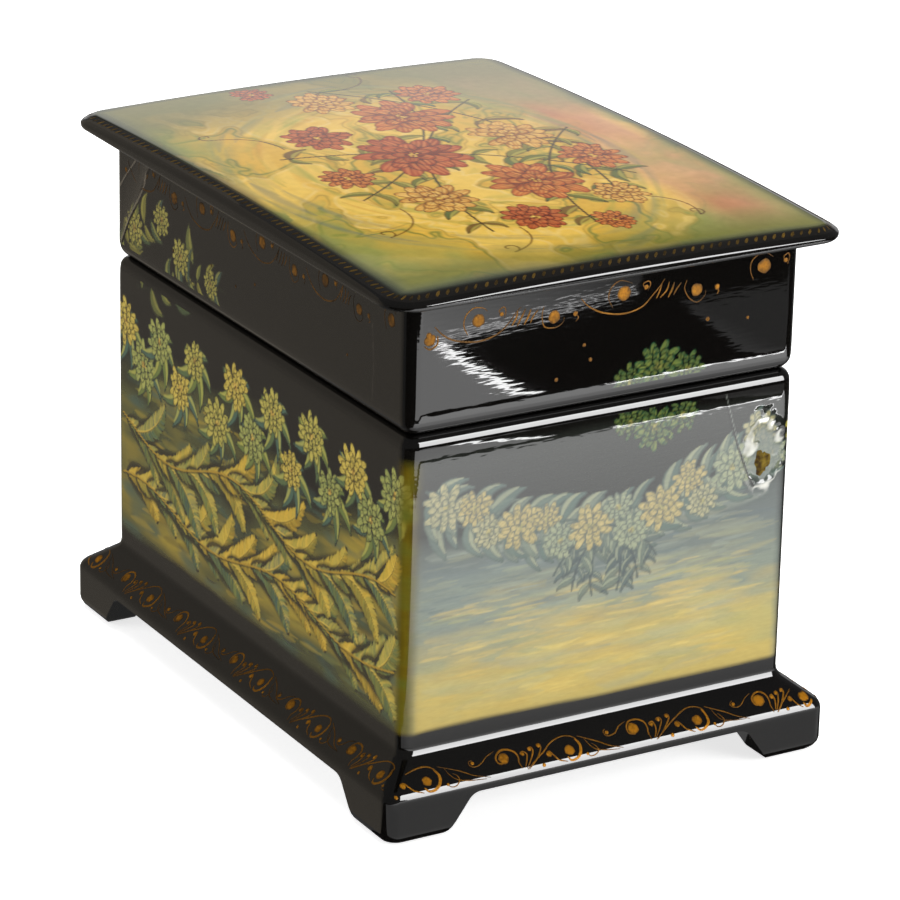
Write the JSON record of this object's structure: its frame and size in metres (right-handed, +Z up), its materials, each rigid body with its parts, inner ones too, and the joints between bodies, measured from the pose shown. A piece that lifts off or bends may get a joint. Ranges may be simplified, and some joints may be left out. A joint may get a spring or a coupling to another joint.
{
  "type": "lacquer box",
  "caption": "Footed black lacquer box with a sloping plinth, painted sides and an overhanging, slightly crowned lid hinged at the back.",
  "frame": {"origin": "middle of the footprint, on the table under the feet", "axes": "+X along the front to the viewer's right, +Y from the front to the hinges at the back, +Z up"},
  "size_m": [0.144, 0.106, 0.1182],
  "materials": {
    "black_lacquer": "black lacquer, glossy, over papier-mache",
    "red_lacquer": "red lacquer, glossy, over papier-mache",
    "hinge_brass": "dull brass"
  },
  "bodies": {
    "box": {"body_walls": "black_lacquer", "bottom_panel": "red_lacquer", "inner_lip": "red_lacquer", "plinth_moulding": "black_lacquer", "foot_front_left": "black_lacquer", "foot_front_right": "black_lacquer", "foot_rear_left": "black_lacquer", "foot_rear_right": "black_lacquer", "hinge_left_body_leaf": "hinge_brass", "hinge_left_pin": "hinge_brass", "hinge_right_body_leaf": "hinge_brass", "hinge_right_pin": "hinge_brass", "hinge_nails_body": "hinge_brass"},
    "lid": {"lid_walls": "black_lacquer", "lid_panel": "black_lacquer", "hinge_left_lid_leaf": "hinge_brass", "hinge_right_lid_leaf": "hinge_brass", "hinge_nails_lid": "hinge_brass"}
  },
  "joints": [
    {"name": "lid_hinge", "type": "hinge", "parent": "box", "child": "lid", "pos_m": [0, 0.0448, 0.0843], "axis": [-1, 0, 0], "range_deg": [0, 105]}
  ]
}
